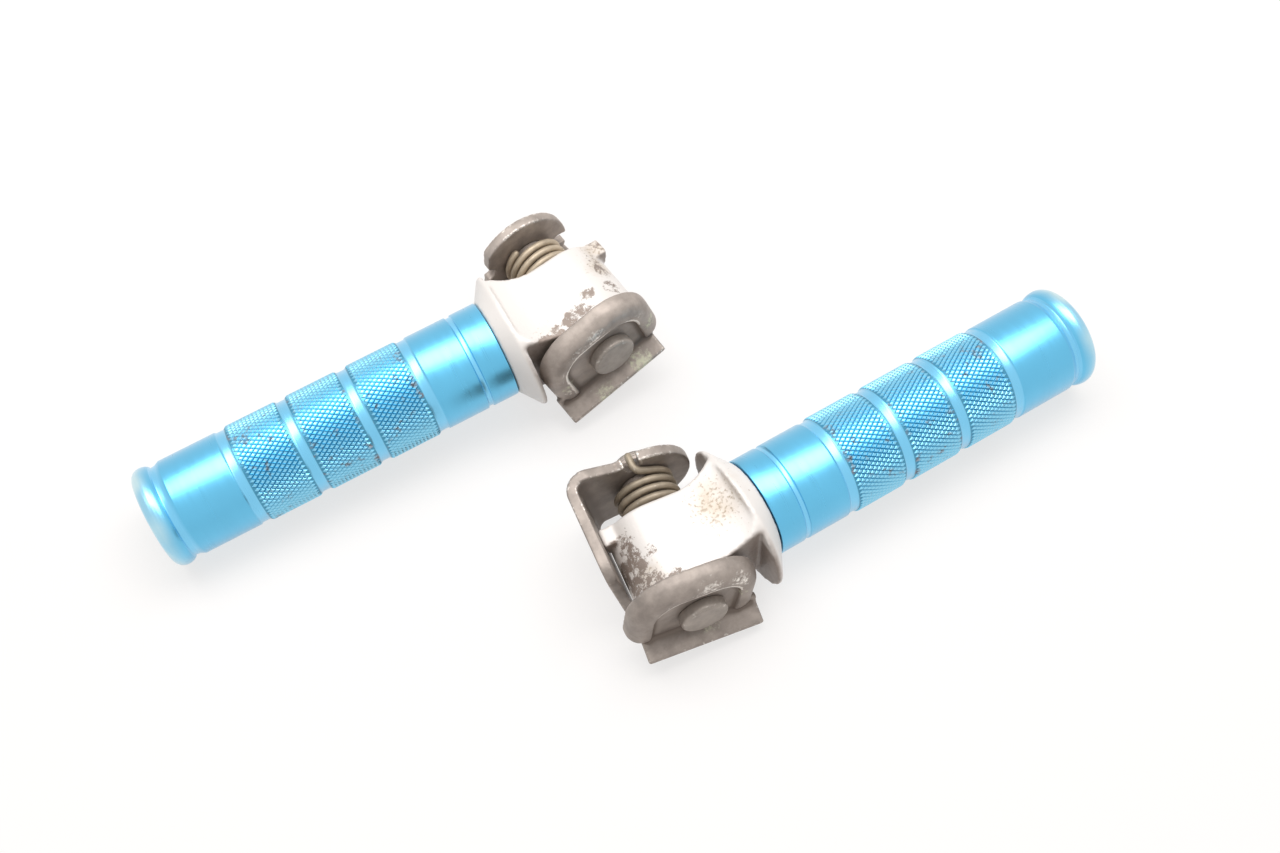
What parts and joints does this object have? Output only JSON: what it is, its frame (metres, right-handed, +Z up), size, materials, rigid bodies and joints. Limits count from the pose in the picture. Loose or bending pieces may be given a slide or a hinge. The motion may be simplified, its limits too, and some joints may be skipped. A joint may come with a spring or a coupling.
{
  "type": "motorcycle passenger footpeg pair",
  "caption": "Folding motorcycle passenger footpegs with knurled blue aluminium sleeves on flanged arms, each pivoting on a headed pin in a slotted steel bracket.",
  "frame": {"origin": "under the middle of the pair's box, on the surface that both pegs lie on", "axes": "+Z up, +X from the left peg's end to the right peg's end, with both pivot pins level"},
  "size_m": [0.2832, 0.1414, 0.0403],
  "materials": {
    "sleeve_anodised": "anodised, turned and knurled",
    "arm_paint": "worn paint",
    "bracket_steel": "worn plating",
    "plate_steel": "worn plating",
    "pin_steel": "dull",
    "tube_steel": "dull",
    "spring_zinc": "yellow zinc",
    "fastener_steel": "zinc plated"
  },
  "bodies": {
    "root": {"left_bracket": "bracket_steel", "left_pivot_pin": "pin_steel", "left_pin_washer": "fastener_steel", "left_pin_clip": "fastener_steel", "left_spacer_tube": "tube_steel", "right_bracket": "bracket_steel", "right_pivot_pin": "pin_steel", "right_pin_washer": "fastener_steel", "right_pin_clip": "fastener_steel", "right_spacer_tube": "tube_steel", "right_return_spring": "spring_zinc"},
    "left_peg": {"left_return_spring": "spring_zinc", "left_peg_arm": "arm_paint", "left_side_plate": "plate_steel", "left_grip_sleeve": "sleeve_anodised", "left_seat_washer": "fastener_steel", "left_end_screw": "fastener_steel"},
    "right_peg": {"right_peg_arm": "arm_paint", "right_side_plate": "plate_steel", "right_grip_sleeve": "sleeve_anodised", "right_seat_washer": "fastener_steel", "right_end_screw": "fastener_steel"}
  },
  "joints": [
    {"name": "left_fold", "type": "hinge", "parent": "root", "child": "left_peg", "pos_m": [-0.01088, 0.03885, 0.0221], "axis": [-0.5299, 0.848, 0], "range_deg": [0, 90]},
    {"name": "right_fold", "type": "hinge", "parent": "root", "child": "right_peg", "pos_m": [0.01292, -0.04155, 0.0175], "axis": [-0.3289, 0.9444, 0], "range_deg": [0, 90], "stiffness_Nm_per_rad": 0.5, "springref_deg": -45.84, "deforming": ["right_return_spring"]}
  ]
}
